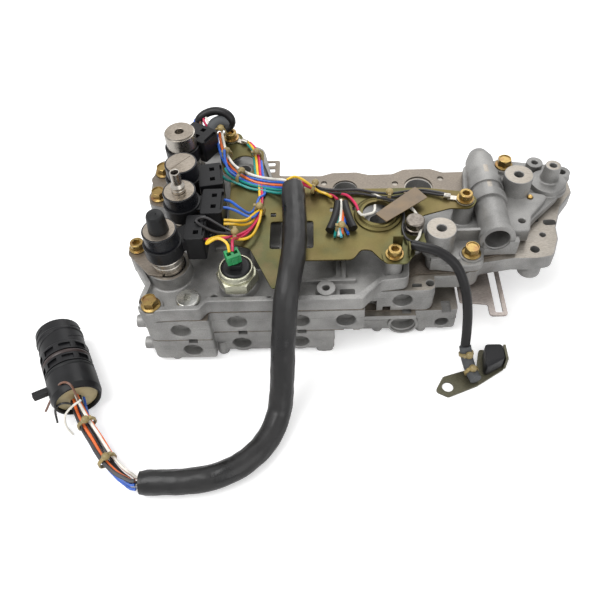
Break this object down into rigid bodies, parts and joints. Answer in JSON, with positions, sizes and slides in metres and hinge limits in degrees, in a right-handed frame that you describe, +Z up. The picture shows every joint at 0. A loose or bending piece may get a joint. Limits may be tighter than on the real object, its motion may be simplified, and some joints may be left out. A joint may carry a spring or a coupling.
{
  "type": "transmission valve body",
  "caption": "Automatic transmission valve body: stacked aluminium castings with separator plates, solenoids, wiring plate, harness, spool valves and a sliding manual valve.",
  "frame": {"origin": "centre region of the machined pad on the underside, the face that the body rests on", "axes": "+X along the body towards the end with the open cylinder, -Y is the long face with the valve bores, +Z is up through the casting stack"},
  "size_m": [0.4235, 0.2962, 0.1243],
  "materials": {
    "cast_aluminium": "as cast, matte, machined on its faces",
    "separator_steel": "blanked sheet, dull",
    "gold_zinc_plate": "gold zinc plated, satin, slightly iridescent",
    "gold_zinc_bolt": "gold zinc plated, bright",
    "bronze_film": "satin film",
    "turned_steel": "turned and ground",
    "bright_steel": "satin",
    "zinc_steel": "zinc plated, bright",
    "bright_aluminium": "machined, bright",
    "brass": "turned",
    "tinned_copper": "tinned, bright",
    "spring_steel": "oiled wire",
    "black_plastic": "moulded, satin",
    "black_rubber": "satin",
    "grey_sleeve": "matte",
    "green_plastic": "moulded",
    "tan_plastic": "moulded",
    "wire_insulation": "coloured insulation",
    "olive_steel": "olive plated, satin"
  },
  "bodies": {
    "valve_body": {"lower_body": "cast_aluminium", "middle_body": "cast_aluminium", "upper_body_left": "cast_aluminium", "upper_body_right": "cast_aluminium", "lower_separator_plate": "separator_steel", "upper_separator_plate": "separator_steel", "solenoid_clamp": "separator_steel", "wiring_plate": "gold_zinc_plate", "wire_clip": "gold_zinc_plate", "hex_bolt_front_left": "gold_zinc_bolt", "hex_bolt_front_right": "gold_zinc_bolt", "hex_bolt_back_right": "gold_zinc_bolt", "hex_bolt_back_left": "gold_zinc_bolt", "hex_bolt_mid_left": "gold_zinc_bolt", "socket_bolt_left_ear": "gold_zinc_bolt", "socket_bolt_plate_back": "gold_zinc_bolt", "socket_bolt_plate_right": "gold_zinc_bolt", "socket_bolt_plate_front": "gold_zinc_bolt", "wire_shield": "bronze_film", "solenoid_1": "turned_steel", "solenoid_2": "turned_steel", "solenoid_3": "turned_steel", "solenoid_4": "turned_steel", "solenoid_2_spout": "turned_steel", "check_plug": "turned_steel", "pressure_switch": "zinc_steel", "gallery_plug": "bright_aluminium", "locating_pin": "brass", "ring_terminal_plate_back": "tinned_copper", "ring_terminal_plate_right": "tinned_copper", "upper_spring_2": "spring_steel", "upper_spring_3": "spring_steel", "upper_spring_4": "spring_steel", "upper_spring_5": "spring_steel", "lower_spring_3": "spring_steel", "solenoid_connector_1": "black_plastic", "solenoid_connector_2": "black_plastic", "solenoid_connector_3": "black_plastic", "solenoid_connector_4": "black_plastic", "switch_insulator": "black_plastic", "connector_shell": "black_plastic", "speed_sensor": "black_plastic", "solenoid_1_nose": "black_rubber", "main_sleeve": "black_rubber", "lead_cable": "black_rubber", "twin_sleeves": "black_rubber", "lead_sleeve": "grey_sleeve", "switch_plug": "green_plastic", "connector_insert": "tan_plastic", "wiring_loom": "wire_insulation", "conductor_bundle": "wire_insulation", "sensor_bracket": "olive_steel"},
    "manual_valve_train": {"manual_valve": "turned_steel", "manual_valve_plate": "bright_steel"},
    "upper_valve_2_spool": {"upper_valve_2": "turned_steel"},
    "upper_valve_3_spool": {"upper_valve_3": "turned_steel"},
    "upper_valve_4_spool": {"upper_valve_4": "turned_steel"},
    "upper_valve_5_spool": {"upper_valve_5": "turned_steel"},
    "lower_valve_3_spool": {"lower_valve_3": "turned_steel"}
  },
  "joints": [
    {"name": "manual_valve_slide", "type": "slide", "parent": "valve_body", "child": "manual_valve_train", "axis": [1, 0, 0], "range_m": [-0.005, 0.012]},
    {"name": "upper_valve_2_slide", "type": "slide", "parent": "valve_body", "child": "upper_valve_2_spool", "axis": [0, 1, 0], "range_m": [0, 0.005], "stiffness_N_per_m": 1200, "springref_m": -0.006, "deforming": ["upper_spring_2"]},
    {"name": "upper_valve_3_slide", "type": "slide", "parent": "valve_body", "child": "upper_valve_3_spool", "axis": [0, 1, 0], "range_m": [0, 0.005], "stiffness_N_per_m": 1200, "springref_m": -0.006, "deforming": ["upper_spring_3"]},
    {"name": "upper_valve_4_slide", "type": "slide", "parent": "valve_body", "child": "upper_valve_4_spool", "axis": [0, 1, 0], "range_m": [0, 0.005], "stiffness_N_per_m": 1200, "springref_m": -0.006, "deforming": ["upper_spring_4"]},
    {"name": "upper_valve_5_slide", "type": "slide", "parent": "valve_body", "child": "upper_valve_5_spool", "axis": [0, 1, 0], "range_m": [0, 0.005], "stiffness_N_per_m": 1200, "springref_m": -0.006, "deforming": ["upper_spring_5"]},
    {"name": "lower_valve_3_slide", "type": "slide", "parent": "valve_body", "child": "lower_valve_3_spool", "axis": [0, 1, 0], "range_m": [0, 0.005], "stiffness_N_per_m": 1200, "springref_m": -0.006, "deforming": ["lower_spring_3"]}
  ]
}
